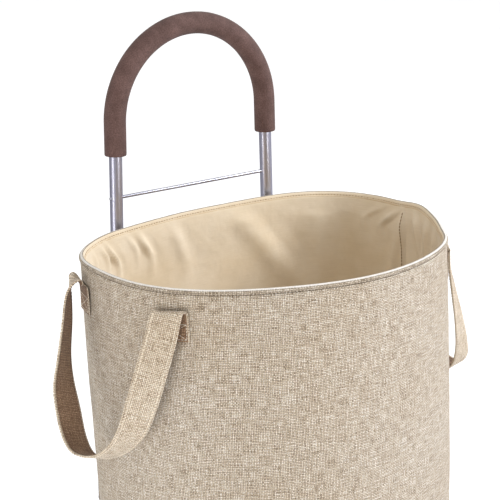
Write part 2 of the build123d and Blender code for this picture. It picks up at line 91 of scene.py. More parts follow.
# ---------------------------------------------------------------------------
# Materials
# ---------------------------------------------------------------------------
class Nodes:
    """Adds shader nodes to a new material, or to the given world, and links them by name."""

    def __init__(self, name, world=None):
        self.material = world or bpy.data.materials.new(name)
        self.material.use_nodes = True
        self.tree = self.material.node_tree
        self.shader = self.tree.nodes["Background" if world else "Principled BSDF"]

    def add(self, kind, values=None, **settings):
        node = self.tree.nodes.new("ShaderNode" + kind)
        for key, value in settings.items():
            setattr(node, key, value)
        for key, value in (values or {}).items():
            self.put(node, key, value)
        return node

    def put(self, node, key, value):
        socket = node.inputs[key]
        if isinstance(value, bpy.types.NodeSocket):
            self.tree.links.new(value, socket)
        elif isinstance(value, bpy.types.Node):
            self.tree.links.new(value.outputs[0], socket)
        else:
            socket.default_value = value

    def maths(self, operation, a, b=None):
        node = self.add("Math", operation=operation)
        self.put(node, 0, a)
        if b is not None:
            self.put(node, 1, b)
        return node

    def coords(self, scale, uv=False):
        source = self.add("TexCoord").outputs["UV" if uv else "Object"]
        return self.add("Mapping", {"Vector": source, "Scale": scale})

    def noise(self, scale, uv=False, detail=2.0, rough=0.5):
        vector = self.coords(scale, uv)
        return self.add(
            "TexNoise", {"Vector": vector, "Scale": 1.0, "Detail": detail, "Roughness": rough}
        )

    def ramp(self, factor, stops, colour_of=None):
        node = self.add("ValToRGB", {"Fac": factor})
        points = node.color_ramp.elements
        while len(points) < len(stops):
            points.new(0.5)
        for point, (place, colour) in zip(points, stops):
            point.position = place
            point.color = (colour_of or rgb)(colour)
        return node

    def mix(self, factor, a, b, blend="MIX"):
        node = self.add("Mix", data_type="RGBA", blend_type=blend)
        self.put(node, 0, factor)
        self.put(node, 6, a)
        self.put(node, 7, b)
        return node.outputs[2]

    def bump(self, height, strength, distance, normal=None):
        values = {"Height": height, "Strength": strength, "Distance": distance}
        if normal is not None:
            values["Normal"] = normal
        return self.add("Bump", values)

    def finish(self, **values):
        for key, value in values.items():
            self.put(self.shader, key.replace("_", " "), value)
        return self.material


def rgb(colour):
    """Linear RGBA from 0-255 sRGB numbers."""
    linear = [((c / 255 + 0.055) / 1.055) ** 2.4 if c > 10 else c / 3294 for c in colour]
    return (*linear, 1.0)


# Width of one thread of the woven cloths, with its gap.
THREAD = 0.0019


def linen(name, dark, middle, light, slub=1.0, contrast=1.0, fold=None):
    """Plain weave of heathered threads: UVs are metres across and up the cloth. A given fold gets a pale
    painted highlight line along it.
    """
    n = Nodes(name)
    across = n.noise((1.9 / THREAD, 75, 1), uv=True, detail=1.0)
    along = n.noise((65, 1.9 / THREAD, 1), uv=True, detail=1.0)
    fleck = n.noise((2.4 / THREAD, 2.4 / THREAD, 1), uv=True, detail=1.0)
    long_slub = n.noise((26, 640, 1), uv=True, detail=2)
    tall_slub = n.noise((640, 22, 1), uv=True, detail=2)
    spread = 0.27 / contrast
    stops = [(0.5 - spread, dark), (0.5, middle), (0.5 + spread, light)]
    fleck_share = n.maths("MULTIPLY", n.maths("SUBTRACT", fleck.outputs["Fac"], 0.5), 0.7)
    warp = n.ramp(n.maths("ADD", across.outputs["Fac"], fleck_share), stops)
    weft = n.ramp(n.maths("ADD", along.outputs["Fac"], fleck_share), stops)
    uv = n.add("SeparateXYZ", {"Vector": n.add("TexCoord").outputs["UV"]})
    wave_u = n.maths("SINE", n.maths("MULTIPLY", uv.outputs["X"], pi / THREAD))
    wave_v = n.maths("SINE", n.maths("MULTIPLY", uv.outputs["Y"], pi / THREAD))
    over = n.maths("MULTIPLY", wave_u, wave_v)
    top = n.add("MapRange", {"Value": over, "From Min": -0.2, "From Max": 0.2})
    weave = n.mix(top, warp.outputs["Color"], weft.outputs["Color"])
    gap = n.add("MapRange", {"Value": n.maths("ABSOLUTE", over), "From Min": 0.0, "From Max": 0.5,
                             "To Min": 0.28, "To Max": 1.0})
    weave = n.mix(1.0, weave, gap.outputs[0], "MULTIPLY")
    slubs = n.maths("ADD", long_slub.outputs["Fac"], tall_slub.outputs["Fac"])
    slub_tone = n.ramp(n.maths("MULTIPLY", slubs, 0.5),
                       [(0.38, (214, 205, 193)), (0.5, (246, 243, 238)), (0.6, (255, 255, 255))])
    cloth = n.mix(0.5 * slub, weave, slub_tone.outputs["Color"], "MULTIPLY")
    patch = n.noise((7, 6, 8), detail=3)
    shade = n.ramp(patch.outputs["Fac"], [(0.3, (238, 230, 218)), (0.7, (255, 255, 255))])
    cloth = n.mix(0.55, cloth, shade.outputs["Color"], "MULTIPLY")
    # Painted highlight: a pale off-white line along the hem's top fold, where light catches it.
    if fold:
        from_fold = n.maths("ABSOLUTE", n.maths("SUBTRACT", uv.outputs["Y"], fold))
        pale = n.add("MapRange", {"Value": from_fold, "From Min": 0.0004, "From Max": 0.0017,
                                  "To Min": 0.75, "To Max": 0.0})
        cloth = n.mix(pale, cloth, rgb((250, 247, 241)))
    height = n.maths("ADD", n.maths("ABSOLUTE", over), n.maths("MULTIPLY", slubs, 0.6))
    rough = n.add("MapRange", {"Value": slubs, "From Min": 0.6, "From Max": 1.4,
                               "To Min": 0.95, "To Max": 0.8})
    normal = n.bump(height, 0.6, 0.0005)
    return n.finish(Base_Color=cloth, Roughness=rough.outputs[0], Normal=normal, Sheen_Weight=0.12,
                    Sheen_Roughness=0.6, Specular_IOR_Level=0.2)


def cotton(name, base, deep, crease=0.5):
    """Smooth twill lining with a fine diagonal rib and soft mottling."""
    n = Nodes(name)
    uv = n.add("SeparateXYZ", {"Vector": n.add("TexCoord").outputs["UV"]})
    diagonal = n.maths("ADD", uv.outputs["X"], uv.outputs["Y"])
    rib = n.maths("SINE", n.maths("MULTIPLY", diagonal, 2 * pi / 0.0011))
    cloud = n.noise((9, 9, 11), detail=4, rough=0.6)
    thread = n.noise((40, 1500, 1), uv=True, detail=1)
    tone = n.ramp(cloud.outputs["Fac"], [(0.3, deep), (0.65, base)])
    fleck = n.ramp(thread.outputs["Fac"], [(0.3, (238, 234, 226)), (0.6, (255, 255, 255))])
    cloth = n.mix(0.3, tone.outputs["Color"], fleck.outputs["Color"], "MULTIPLY")
    height = n.maths("ADD", n.maths("MULTIPLY", rib, 0.3), thread.outputs["Fac"])
    fine = n.bump(height, 0.25, 0.0003)
    soft = n.noise((28, 28, 28), detail=3)
    normal = n.bump(soft.outputs["Fac"], crease, 0.004, fine.outputs[0])
    return n.finish(Base_Color=cloth, Roughness=0.85, Normal=normal, Sheen_Weight=0.1,
                    Sheen_Roughness=0.5, Specular_IOR_Level=0.2)


def foam(name):
    """Closed-cell foam: fine pores and a slightly uneven tone."""
    n = Nodes(name)
    pores = n.add("TexVoronoi", {"Vector": n.coords((1, 1, 1)), "Scale": 900.0})
    cloud = n.noise((60, 60, 60), detail=4)
    tone = n.ramp(cloud.outputs["Fac"], [(0.3, (92, 68, 62)), (0.7, (112, 86, 80))])
    grain = n.noise((800, 800, 800), detail=3)
    cell = n.ramp(grain.outputs["Fac"], [(0.35, (176, 170, 168)), (0.65, (255, 255, 255))])
    colour = n.mix(0.7, tone.outputs["Color"], cell.outputs["Color"], "MULTIPLY")
    height = n.maths("ADD", pores.outputs["Distance"], grain.outputs["Fac"])
    normal = n.bump(height, 0.4, 0.0004)
    return n.finish(Base_Color=colour, Roughness=0.85, Normal=normal, Sheen_Weight=0.05,
                    Sheen_Roughness=0.5, Specular_IOR_Level=0.35)


def metal(name, light, dark, roughness, brush=(300, 300, 8)):
    """Satin metal with a fine draw grain and faint handling marks."""
    n = Nodes(name)
    grain = n.noise(brush, detail=3)
    cloud = n.noise((14, 14, 10), detail=4)
    tone = n.ramp(cloud.outputs["Fac"], [(0.3, dark), (0.7, light)])
    line = n.ramp(grain.outputs["Fac"], [(0.3, (236, 236, 238)), (0.7, (255, 255, 255))])
    colour = n.mix(0.6, tone.outputs["Color"], line.outputs["Color"], "MULTIPLY")
    rough = n.add("MapRange", {"Value": grain.outputs["Fac"], "To Min": roughness - 0.06,
                               "To Max": roughness + 0.08})
    normal = n.bump(grain.outputs["Fac"], 0.08, 0.0002)
    return n.finish(Base_Color=colour, Roughness=rough.outputs[0], Normal=normal, Metallic=1.0)


def plastic(name, light, dark, roughness, grain_scale=1500, bump=0.15):
    """Moulded plastic or rubber with a fine spark-eroded texture and a softly mottled tone."""
    n = Nodes(name)
    grain = n.noise((grain_scale,) * 3, detail=2)
    cloud = n.noise((25, 25, 25), detail=4)
    tone = n.ramp(cloud.outputs["Fac"], [(0.3, dark), (0.7, light)])
    rough = n.add("MapRange", {"Value": cloud.outputs["Fac"], "To Min": roughness - 0.08,
                               "To Max": roughness + 0.1})
    normal = n.bump(grain.outputs["Fac"], bump, 0.0002)
    return n.finish(Base_Color=tone.outputs["Color"], Roughness=rough.outputs[0], Normal=normal)


M = {
    "silver_tube": metal("silver_paint", (204, 203, 214), (192, 191, 203), 0.34),
    "bright_rod": metal("bright_rod", (205, 205, 214), (180, 180, 192), 0.25, (20, 400, 400)),
    "fastener": metal("zinc_screw", (190, 190, 194), (150, 150, 156), 0.35, (200, 200, 200)),
    "axle_steel": metal("axle_steel", (176, 178, 182), (140, 142, 148), 0.32, (8, 500, 500)),
    "washer": plastic("washer_nylon", (226, 224, 216), (206, 204, 196), 0.5),
    "brown_plastic": plastic("brown_nylon", (96, 74, 66), (78, 58, 51), 0.48),
    "foot_rubber": plastic("foot_rubber", (62, 52, 48), (46, 38, 35), 0.78, 900, 0.3),
    "wheel_plastic": plastic("wheel_nylon", (108, 84, 74), (88, 66, 58), 0.45),
    "tyre": plastic("tyre_rubber", (58, 50, 47), (42, 36, 34), 0.8, 700, 0.35),
    "board": plastic("board_fibre", (176, 150, 116), (150, 124, 92), 0.85, 500, 0.3),
    "stiffener": plastic("stiffener_felt", (214, 206, 190), (190, 182, 166), 0.9, 600, 0.3),
    "foam": foam("grip_foam"),
    "linen": linen("linen", (98, 78, 56), (206, 190, 168), (255, 252, 246)),
    # Hem linen with a painted highlight along its top fold.
    "linen_hem": linen("linen_hem", (84, 66, 46), (190, 175, 154), (250, 243, 232), fold=0.0056),
    "strap_linen": linen("strap_linen", (122, 97, 72), (224, 206, 182), (255, 250, 238), 0.8),
    # Darker copy of the strap linen: painted shade for the straps' undersides and the tabs' outer faces.
    "strap_painted_shade": linen("strap_linen_painted_shade", (104, 78, 60), (158, 126, 100), (200, 170, 140), 0.8),
    "lining": cotton("lining_cotton", (233, 218, 194), (219, 200, 169)),
    "piping": cotton("piping_cotton", (222, 202, 170), (198, 172, 134), 0.2),
    "brown_tape": linen("brown_tape", (52, 36, 28), (74, 52, 42), (98, 74, 62), 0.5),
    "thread": plastic("stitch_thread", (240, 230, 212), (216, 203, 182), 0.7, 2500, 0.3),
    # Thread for the hem's outer row, made darker than the other threads as painted shade of the groove it
    # sits in.
    "groove_thread": plastic("groove_thread", (122, 104, 84), (88, 73, 58), 0.8, 2500, 0.3),
    "seam_thread": plastic("seam_thread", (150, 122, 88), (122, 96, 66), 0.8, 2500, 0.3),
    "tan_thread": plastic("tan_thread", (196, 168, 130), (168, 138, 100), 0.8, 2500, 0.3),
    "brown_thread": plastic("brown_thread", (110, 88, 72), (84, 64, 52), 0.7, 2500, 0.3),
}


# ---------------------------------------------------------------------------
# Mesh helpers
# ---------------------------------------------------------------------------
def grid(name, points, uv, closed_u=False, closed_v=False, flip=False):
    """Mesh from rows of points, (rows, columns, 3), with UVs in metres, (rows, columns, 2)."""
    rows, columns = points.shape[:2]
    faces = []
    for j in range(rows if closed_v else rows - 1):
        for i in range(columns if closed_u else columns - 1):
            quad = [(j, i), (j, i + 1), (j + 1, i + 1), (j + 1, i)]
            faces.append(quad[::-1] if flip else quad)
    mesh = bpy.data.meshes.new(name)
    index = [[(j % rows) * columns + i % columns for j, i in quad] for quad in faces]
    mesh.from_pydata(points.reshape(-1, 3).tolist(), [], index)
    layer = mesh.uv_layers.new(name="cloth")
    step_u = uv[:, 1] - uv[:, 0]
    step_v = uv[1] - uv[0]
    values = []
    for quad in faces:
        for j, i in quad:
            value = uv[j % rows, i % columns].copy()
            if i >= columns:
                value = uv[j % rows, columns - 1] + step_u[j % rows]
            if j >= rows:
                value = uv[rows - 1, i % columns] + step_v[i % columns]
            values.extend(value)
    layer.data.foreach_set("uv", np.array(values, np.float32))
    mesh.polygons.foreach_set("use_smooth", [True] * len(faces))
    return link(name, mesh)


def join(name, parts):
    """One object from several, which keep their materials and UVs."""
    with bpy.context.temp_override(active_object=parts[0], selected_editable_objects=parts):
        bpy.ops.object.join()
    parts[0].name = name
    parts[0].data.name = name
    return parts[0]


def solidify(obj, thickness, offset=-1.0):
    modifier = obj.modifiers.new("thickness", "SOLIDIFY")
    modifier.thickness = thickness
    modifier.offset = offset
    modifier.use_even_offset = False
    apply(obj)


def apply(obj):
    """Applies the object's modifiers to its mesh."""
    graph = bpy.context.evaluated_depsgraph_get()
    done = bpy.data.meshes.new_from_object(obj.evaluated_get(graph), depsgraph=graph)
    obj.modifiers.clear()
    obj.data = done


def paint(obj, *names):
    obj.data.materials.clear()
    for name in names:
        obj.data.materials.append(M[name])
    return obj


def smooth_noise(shape, cells, seed, wrap=True):
    """Soft random field from -1 to 1 on a grid, periodic across its columns."""
    rows, columns = shape
    source = np.random.default_rng(seed).uniform(-1, 1, (cells[0] + 3, cells[1] + (0 if wrap else 3)))
    v = np.linspace(0, cells[0], rows)
    u = np.linspace(0, cells[1], columns, endpoint=not wrap)

    def weights(t):
        f = t - np.floor(t)
        third = -3 * f**3 + 3 * f**2 + 3 * f + 1
        return np.array([(1 - f) ** 3, 3 * f**3 - 6 * f**2 + 4, third, f**3]) / 6

    wu, wv = weights(u), weights(v)
    iu, iv = np.floor(u).astype(int), np.floor(v).astype(int)
    field = np.zeros(shape)
    for a in range(4):
        for b in range(4):
            rows_at = np.clip(iv + a, 0, source.shape[0] - 1)
            columns_at = (iu + b) % source.shape[1] if wrap else np.clip(iu + b, 0, source.shape[1] - 1)
            field += np.outer(wv[a], wu[b]) * source[np.ix_(rows_at, columns_at)]
    return field


def unit(v):
    return v / np.maximum(np.linalg.norm(v, axis=-1, keepdims=True), 1e-12)


def travel(path):
    """Distance along a path of points, at each of them."""
    return np.concatenate([[0], np.cumsum(np.linalg.norm(np.diff(path, axis=0), axis=1))])


def turn_from(turn, place):
    """How far round the bag turn is from place, in turns from -0.5 to 0.5."""
    return np.mod(turn - place + 0.5, 1) - 0.5


def link(name, mesh):
    obj = bpy.data.objects.new(name, mesh)
    bpy.context.scene.collection.objects.link(obj)
    return obj


def rows_of(rows):
    return np.array(rows, float)


def stitches(name, path, normal, pitch, length, width, lift, material, body):
    """A row of short sewn stitches along a path of points, each a small capsule in the cloth."""
    run = travel(path)
    count = int(run[-1] / pitch)
    ring = [(cos(a), sin(a)) for a in np.arange(6) * pi / 3]
    profile = [(-0.5, 0.25), (-0.32, 0.9), (0.0, 1.0), (0.32, 0.9), (0.5, 0.25)]
    vertices, faces = [], []
    for k in range(count):
        s = (k + 0.5) * pitch
        centre = np.array([np.interp(s, run, path[:, c]) for c in range(3)])
        before, after = s - pitch / 2, s + pitch / 2
        ahead = np.array([np.interp(after, run, path[:, c]) - np.interp(before, run, path[:, c])
                          for c in range(3)])
        up = unit(np.array([np.interp(s, run, normal[:, c]) for c in range(3)]))
        ahead = unit(ahead)
        side = np.cross(up, ahead)
        start = len(vertices)
        for along, fat in profile:
            dip = (abs(along) * 2) ** 2 * lift * 1.2
            for a, b in ring:
                p = centre + ahead * along * length + side * a * width / 2 * fat
                vertices.append(p + up * (b * width / 2 * fat + lift - dip))
        for r in range(len(profile) - 1):
            for q in range(6):
                a = start + r * 6 + q
                b = start + r * 6 + (q + 1) % 6
                faces.append((a, b, b + 6, a + 6))
        last = start + (len(profile) - 1) * 6
        faces.append(tuple(start + q for q in range(5, -1, -1)))
        faces.append(tuple(last + q for q in range(6)))
    mesh = bpy.data.meshes.new(name)
    mesh.from_pydata([tuple(v) for v in vertices], [], faces)
    mesh.polygons.foreach_set("use_smooth", [True] * len(faces))
    obj = link(name, mesh)
    paint(obj, material)
    if body:
        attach(obj, body)
    return obj


# ---------------------------------------------------------------------------
# Bag outline: half an ellipse in front, a squarer curve behind
# ---------------------------------------------------------------------------
COLUMNS = 512
DENSE = 2880
# Where the rim has slumped inwards: place round the bag, spread and depth.
SLUMPS = [(0.76, 0.05, 0.0030), (0.325, 0.04, 0.0050)]
# Where it stands higher or lower than its mean: place, spread and height.
RIM_LIFTS = [
    (0.88, 0.05, 0.0030), (0.98, 0.06, 0.0026), (0.10, 0.07, 0.0046),
    (0.255, 0.022, 0.0045), (0.32, 0.03, -0.0030),
]


def outline(z, inset=0.0, count=COLUMNS):
    """Points and outward normals round the bag at height z, from the middle of the back
    towards +X, evenly spaced."""
    shrink = (RIM_Z - z) * tan(TAPER) + inset
    width = HALF_WIDTH - shrink
    front = FRONT_DEPTH - shrink
    back = BACK_DEPTH - shrink
    middle = HANDLE_Y - BACK_GAP - BACK_DEPTH - (RIM_Z - z) * tan(BAG_LEAN)
    angle = np.linspace(0, 2 * pi, DENSE, endpoint=False)
    c, s = np.cos(angle), np.sin(angle)
    power = np.where(c > 0, 2 / SQUARENESS, 1.0)
    x = width * np.sign(s) * np.abs(s) ** power
    y = middle + np.where(c > 0, back, front) * np.sign(c) * np.abs(c) ** power
    p = np.stack([x, y], 1)
    closed = np.vstack([p, p[:1]])
    run = travel(closed)
    at = np.arange(count) / count * run[-1]
    q = np.stack([np.interp(at, run, closed[:, 0]), np.interp(at, run, closed[:, 1])], 1)
    ahead = unit(np.roll(q, -2, 0) - np.roll(q, 2, 0))
    out = np.stack([-ahead[:, 1], ahead[:, 0]], 1)
    near_rim = max(0.0, 1 - max(0.0, RIM_Z - z) / SLUMP_FADE) ** 2
    turn = at / run[-1]
    for place, spread, depth in SLUMPS:
        gap = turn_from(turn, place)
        q = q - out * (depth * near_rim * np.exp(-(gap / spread) ** 2))[:, None]
    return q, out, run[-1]


def place_on(z, offset):
    """Row of 3D points at height z, offset outwards by offset (a number or one per column)."""
    q, out, around = outline(float(np.mean(z)))
    p = q + out * np.reshape(offset, (-1, 1))
    return np.column_stack([p, np.broadcast_to(z, len(p))]), around


def rim_wave(u):
    """How far the rim rises and falls round the bag."""
    lift = 0.0012 * np.sin(2 * pi * (2 * u + 0.1)) + 0.0006 * np.sin(2 * pi * (5 * u + 0.3))
    for place, spread, height in RIM_LIFTS:
        gap = turn_from(u, place)
        lift = lift + height * np.exp(-(gap / spread) ** 2)
    return lift


U = np.arange(COLUMNS) / COLUMNS
AROUND = outline(RIM_Z)[2]
HEM_LOW = RIM_Z - 0.0030
LINING_TOP = RIM_Z - 0.0036


def bag_rows(zs, offsets, name, flip=False):
    points, uvs = [], []
    for z, offset in zip(zs, offsets):
        lift = rim_wave(U) * max(0.0, 1 - (RIM_Z - z) / RIM_FADE)
        row, around = place_on(z, offset)
        row[:, 2] += lift
        points.append(row)
        uvs.append(np.column_stack([U * AROUND, np.full(COLUMNS, z)]))
    return grid(name, rows_of(points), rows_of(uvs), closed_u=True, flip=flip)


# Outer cloth: stiff, with slow swells between its seams and a puckered top edge.
shell_z = np.concatenate([[FLOOR_Z + 0.0004], np.linspace(FLOOR_Z + 0.004, HEM_LOW - 0.006, 110),
                          np.linspace(HEM_LOW - 0.0045, HEM_LOW + 0.0016, 6)])
swell = smooth_noise((len(shell_z), COLUMNS), (7, 9), 3)
ripple = smooth_noise((len(shell_z), COLUMNS), (26, 60), 5)
shell_rows = []
for j, z in enumerate(shell_z):
    edge = min(1.0, (z - FLOOR_Z) / 0.03)
    top = min(1.0, (HEM_LOW - z) / 0.05) if z < HEM_LOW else 0.0
    turn = -0.004 * max(0.0, 1 - (z - FLOOR_Z) / 0.006) ** 2
    groove = -0.0018 * np.exp(-((z - HEM_LOW + 0.0004) / 0.0013) ** 2)
    pucker = 0.00035 * np.sin(2 * pi * U * PUCKERS) * np.exp(-((z - HEM_LOW) / 0.008) ** 2)
    soft = 0.0016 * swell[j] * edge * top + 0.0004 * ripple[j] * edge * top
    shell_rows.append(soft + turn + groove + pucker)
shell = bag_rows(shell_z, shell_rows, "bag_shell_cloth", flip=True)


def cap(name, z, inset, sag, rings=18, flip=False):
    """Floor cloth: concentric rings that close to a point, slightly quilted by its weight."""
    q, out, around = outline(z)
    middle = np.array([0.0, float(q[:, 1].mean())])
    points, uvs = [], []
    for k in range(rings + 1):
        t = 1 - k / rings
        t = max(t, 0.002)
        p = middle + (q - out * inset - middle) * t
        points.append(np.column_stack([p, np.full(COLUMNS, z) + sag * (1 - t**3)]))
        uvs.append(p)
    return grid(name, rows_of(points), rows_of(uvs), closed_u=True, flip=flip)


shell_floor = cap("bag_shell_floor", FLOOR_Z + 0.0004, 0.004, -0.0002)
for piece in (shell, shell_floor):
    piece.data.materials.append(M["linen"])
shell = join("bag_shell_cloth", [shell, shell_floor])
solidify(shell, 0.0013)
paint(shell, "linen")
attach(shell, "bag")
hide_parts("bag_shell", "bag_floor_cloth")


# Felt stiffener between the outer cloth and the lining.
felt_z = np.linspace(FLOOR_Z + 0.002, HEM_LOW - 0.001, 60)
stiffener = bag_rows(felt_z, [np.full(COLUMNS, -0.0022)] * 60, "wall_felt", flip=True)
solidify(stiffener, 0.001)
paint(stiffener, "stiffener")
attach(stiffener, "bag")
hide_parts("wall_stiffener")


# Rolled hem: one flattened tube of cloth, stitched through just under the wire.
hem_section = [(-0.0001, -0.0030), (0.0006, -0.0026), (0.0010, -0.0020), (0.0010, -0.0012), (0.0006, -0.0006),
               (-0.0001, 0.0002), (-0.0010, 0.0010), (-0.0022, 0.0015), (-0.0035, 0.0010), (-0.0044, -0.0002),
               (-0.0049, -0.0012), (-0.0050, -0.0022), (-0.0049, -0.0030), (-0.0042, -0.0036),
               (-0.0028, -0.0038), (-0.0012, -0.0036)]
hem_points, hem_uvs = [], []
q, out, around = outline(RIM_Z)
plump = smooth_noise((len(hem_section), COLUMNS), (3, 90), 11)
run = 0.0
for k, (offset, height) in enumerate(hem_section):
    previous = hem_section[k - 1] if k else hem_section[0]
    run += float(np.hypot(offset - previous[0], height - previous[1]))
    pinch = 0.00025 * np.sin(2 * pi * U * PUCKERS + 0.7) * (height < -0.0015)
    p = q + out * (offset + 0.0003 * plump[k] + pinch)[:, None]
    hem_points.append(np.column_stack([p, RIM_Z + height + rim_wave(U) + 0.0002 * plump[k]]))
    hem_uvs.append(np.column_stack([U * AROUND, np.full(COLUMNS, run)]))
hem = grid("rim_hem_cloth", rows_of(hem_points), rows_of(hem_uvs), closed_u=True)
paint(hem, "linen_hem", "lining")
inner_side = [int(k // COLUMNS >= 8) for k in range(len(hem.data.polygons))]
hem.data.polygons.foreach_set("material_index", inner_side)
solidify(hem, 0.0008, 0.0)
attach(hem, "bag")
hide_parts("rim_hem")

rim_up = np.column_stack([out, np.zeros(COLUMNS)])
for label, offset, height, direction in (("outer", 0.0001, -0.0032, 1), ("inner", -0.0052, -0.0022, -1)):
    path = np.column_stack([q + out * offset, RIM_Z + height + rim_wave(U)])
    path = np.vstack([path, path[:1]])
    normals = np.vstack([rim_up, rim_up[:1]]) * direction
    # The outer row sits in the hem's groove; its darker thread is partly painted shade of that groove.
    stitches("hem_stitching_" + label, path, normals, 0.0040, 0.0028, 0.0012, 0.0001,
             "groove_thread" if label == "outer" else "tan_thread", "bag")


# Lining: a looser cotton wall that creases near the corners, and its floor on the board.
lining_z = np.concatenate([[LINING_Z], np.linspace(LINING_Z + 0.003, LINING_TOP - 0.0035, 150),
                           [LINING_TOP - 0.001, LINING_TOP + 0.001]])
lining_noise = smooth_noise((len(lining_z), COLUMNS), (8, 14), 21)
lining_fine = smooth_noise((len(lining_z), COLUMNS), (30, 70), 23)
seam_right = 0.235
seam_left = 1 - seam_right
# (place round the bag, height below the rim) at a crease's ends, its width and its depth
CREASES = [
    # short pleats that fan out under the rim at the left back corner
    (0.847, 0.005, 0.853, 0.024, 0.0032, 0.0055),
    (0.862, 0.005, 0.874, 0.026, 0.0034, 0.0065),
    (0.872, 0.006, 0.890, 0.038, 0.0042, 0.0080),
    (0.904, 0.006, 0.916, 0.028, 0.0040, 0.0040),
    (0.920, 0.008, 0.934, 0.040, 0.0055, 0.0060),
    (0.962, 0.010, 0.976, 0.060, 0.0090, 0.0030),
    # one broad fold across the back wall, and a fainter one beside it
    (0.040, 0.012, 0.108, 0.115, 0.0210, 0.0054),
    (0.135, 0.030, 0.128, 0.190, 0.0200, 0.0048),
    # pulls towards the right side seam
    (0.232, 0.006, 0.203, 0.034, 0.0042, 0.0060),
    (0.214, 0.006, 0.184, 0.026, 0.0042, 0.0042),
    (0.232, 0.030, 0.215, 0.100, 0.0080, 0.0040),
    # the right side wall past the seam
    (0.252, 0.008, 0.262, 0.060, 0.0050, 0.0060),
    (0.276, 0.006, 0.270, 0.080, 0.0060, 0.0050),
    (0.300, 0.010, 0.296, 0.120, 0.0090, 0.0040),
    (0.450, 0.020, 0.470, 0.200, 0.0100, 0.0030),
    (0.600, 0.020, 0.570, 0.160, 0.0100, 0.0030),
]
depth_below = (RIM_Z - lining_z)[:, None]
crease_field = np.zeros((len(lining_z), COLUMNS))
for u0, d0, u1, d1, wide, deep in CREASES:
    t = np.clip((depth_below - d0) / (d1 - d0), 0, 1)
    line = u0 + (u1 - u0) * t
    gap = turn_from(U[None, :], line) * AROUND
    fade = np.exp(-((depth_below - d0) / 0.006) ** 2) * (depth_below < d0) + (depth_below >= d0)
    fade = fade * np.exp(-(np.maximum(depth_below - d1, 0) / (0.4 * (d1 - d0) + 0.006)) ** 2)
    ridge = np.exp(-((gap / wide) ** 2)) - 0.45 * np.exp(-(((gap - 1.7 * wide) / (1.3 * wide)) ** 2))
    crease_field += deep * fade * ridge * (0.35 + 0.65 * np.sin(pi * (0.15 + 0.8 * t)))
lining_rows = []
for j, z in enumerate(lining_z):
    loose = min(1.0, (LINING_TOP - z) / 0.02) if z < LINING_TOP else 0.0
    low = min(1.0, (z - LINING_Z) / 0.03)
    base = -WALL_T - 0.0010 if loose > 0 else -WALL_T + 0.0001
    inwards = (0.0016 * (1 + lining_noise[j]) + 0.0005 * lining_fine[j]
               + np.maximum(crease_field[j], -0.0014))
    seam = np.zeros(COLUMNS)
    for place in (seam_right, seam_left):
        gap = turn_from(U, place) * AROUND
        seam += 0.0040 * np.exp(-((gap / 0.0060) ** 2)) * (gap < 0.0012)
    lining_rows.append(base - (inwards * low + seam) * loose)
lining = bag_rows(lining_z, lining_rows, "bag_lining_cotton")
lining_floor = cap("bag_lining_floor", LINING_Z, WALL_T + 0.0015, 0.0012, flip=True)
co = np.array([v.co for v in lining_floor.data.vertices])
lining_floor_noise = 0.0012 * np.sin(co[:, 0] * 37 + 2 * np.sin(co[:, 1] * 23)) * np.sin(co[:, 1] * 31 + 1)
for v, dz in zip(lining_floor.data.vertices, lining_floor_noise):
    v.co.z += 0.0012 + float(dz)
lining = join("bag_lining_cotton", [lining, lining_floor])
solidify(lining, 0.0008, 1.0)
paint(lining, "lining")
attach(lining, "bag")
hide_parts("lining_wall", "lining_floor")

# Stitching down the lining's side seams.
for label, place in (("right", seam_right), ("left", seam_left)):
    column = int(round(place * COLUMNS))
    path = []
    for j in range(2, len(lining_z) - 3):
        z = lining_z[j]
        wall, wall_out, _ = outline(z)
        lift = float(rim_wave(U)[column]) * max(0.0, 1 - (RIM_Z - z) / RIM_FADE)
        path.append([*(wall[column] + wall_out[column] * (lining_rows[j][column] - 0.0009)), z + lift])
    inward = np.broadcast_to([-wall_out[column][0], -wall_out[column][1], 0.0], (len(path), 3))
    stitches("lining_seam_stitching_" + label, np.array(path), inward, 0.0042, 0.0036, 0.0013, 0.0003,
             "seam_thread", "bag")


def rim_tube(name, sides, inwards, down, radius, swelling):
    """A thin tube that follows the rim, inwards and down from it."""
    points, uvs = [], []
    for k in range(sides):
        a = 2 * pi * k / sides
        p = q + out * (-inwards + radius * cos(a) * swelling)[:, None]
        points.append(np.column_stack([p, RIM_Z - down + radius * sin(a) + rim_wave(U)]))
        uvs.append(np.column_stack([U * AROUND, np.full(COLUMNS, 0.0007 * k)]))
    return grid(name, rows_of(points), rows_of(uvs), closed_u=True, closed_v=True, flip=True)


# Spring wire in the hem, which holds the mouth of the bag open.
wire = rim_tube("rim_spring_wire", 12, 0.0026, 0.0014, WIRE_R, np.ones(COLUMNS))
paint(wire, "bright_rod")
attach(wire, "bag")
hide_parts("rim_wire")

# Piping between the hem and the lining: a thin folded cotton trim.
piping = rim_tube("lining_piping_trim", 10, 0.0056, 0.0044, PIPING_R, 1 + 0.12 * np.sin(2 * pi * U * 210))
paint(piping, "piping")
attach(piping, "bag")
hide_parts("lining_piping")


# ---------------------------------------------------------------------------
# Carry straps, tabs and leg loops
# ---------------------------------------------------------------------------
def spline(points, samples):
    """Smooth curve through the given rows of numbers (Catmull-Rom), evenly sampled in them."""
    p = np.array(points, float)
    p = np.vstack([2 * p[0] - p[1], p, 2 * p[-1] - p[-2]])
    result = []
    spans = len(p) - 3
    for s in np.linspace(0, spans, samples):
        k = min(int(s), spans - 1)
        t = s - k
        a, b, c, d = p[k:k + 4]
        result.append(0.5 * (2 * b + (c - a) * t + (2 * a - 5 * b + 4 * c - d) * t**2
                             + (3 * b - a - 3 * c + d) * t**3))
    return np.array(result)


def wall_point(side, x, depth, z):
    """The bag wall's point nearest to a place given from the handle's plane, with the wall's
    outward normal and its direction towards the back."""
    q, out, around = outline(z)
    k = int(np.argmin(np.hypot(q[:, 0] - side * x, q[:, 1] - HANDLE_Y - depth)))
    ahead = np.array([-out[k, 1], out[k, 0]])
    if ahead[1] < 0:
        ahead = -ahead
    return np.array([*q[k], z]), np.array([*out[k], 0.0]), np.array([*ahead, 0.0])


